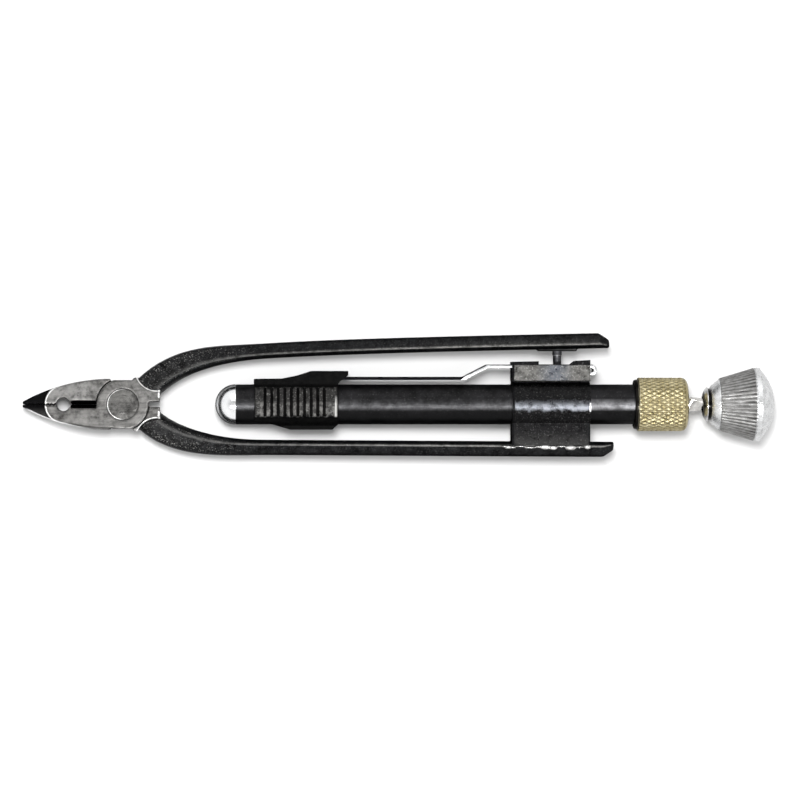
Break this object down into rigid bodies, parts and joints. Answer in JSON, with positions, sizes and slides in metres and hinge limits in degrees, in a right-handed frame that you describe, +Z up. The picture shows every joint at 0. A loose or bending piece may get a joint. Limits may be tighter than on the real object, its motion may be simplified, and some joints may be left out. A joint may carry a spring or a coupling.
{
  "type": "safety wire twisting pliers",
  "caption": "Locking pliers that grip and cut safety wire, with a spiral rod in a central tube that spins the tool when its knob is drawn.",
  "frame": {"origin": "centre of the round eye through the closed jaws, at mid-thickness", "axes": "+X along the spin axis from the jaws to the knob, +Y towards the handle that opens, +Z up when the tool lies flat"},
  "size_m": [0.2389, 0.0395, 0.0234],
  "materials": {
    "forged_black": "black oxide handles with a satin ground head",
    "ground_steel": "satin",
    "black_steel": "satin black",
    "bright_steel": "polished",
    "weld": "rough",
    "spring_steel": "rolled",
    "brass": "diamond knurled",
    "knob_aluminium": "turned",
    "hardened_steel": "satin"
  },
  "bodies": {
    "frame": {"fixed_half": "forged_black", "pivot_rivet": "ground_steel", "centre_tube": "black_steel", "nose_plug": "bright_steel", "tube_bracket": "black_steel", "weld_beads": "weld", "spring_stop": "ground_steel", "twist_nut": "hardened_steel", "brass_cap": "brass"},
    "moving_jaw": {"moving_half": "forged_black", "latch_post": "hardened_steel"},
    "lock": {"lock_slider": "black_steel", "latch_strip": "spring_steel", "slider_rivets": "hardened_steel"},
    "rod_carriage": {"spring_seat": "ground_steel", "return_spring": "spring_steel"},
    "rod": {"spiral_rod": "bright_steel", "rod_end_washer": "ground_steel", "thrust_washer": "ground_steel", "clutch_dog": "hardened_steel", "rod_nut": "ground_steel"},
    "knob": {"knob_body": "knob_aluminium", "knob_bush": "bright_steel", "clutch_ring": "hardened_steel", "knob_cap": "knob_aluminium"}
  },
  "joints": [
    {"name": "handle_open", "type": "hinge", "parent": "frame", "child": "moving_jaw", "pos_m": [0.0187, 0, 0], "axis": [0, 0, 1], "range_deg": [0, 24]},
    {"name": "lock_slide", "type": "slide", "parent": "frame", "child": "lock", "axis": [1, 0, 0], "range_m": [0, 0.006]},
    {"name": "rod_draw", "type": "slide", "parent": "frame", "child": "rod_carriage", "axis": [1, 0, 0], "range_m": [0, 0.09], "stiffness_N_per_m": 60, "springref_m": -0.02, "deforming": ["return_spring"]},
    {"name": "rod_spin", "type": "hinge", "parent": "rod_carriage", "child": "rod", "pos_m": [0.0632, 0, 0], "axis": [1, 0, 0], "range_deg": [-2, 1090]},
    {"name": "knob_swivel", "type": "hinge", "parent": "rod", "child": "knob", "pos_m": [0.2074, 0, 0], "axis": [1, 0, 0], "continuous": true}
  ],
  "couplings": [
    {"joint": "rod_spin", "follows": "rod_draw", "rad_per_m": 209.44}
  ]
}
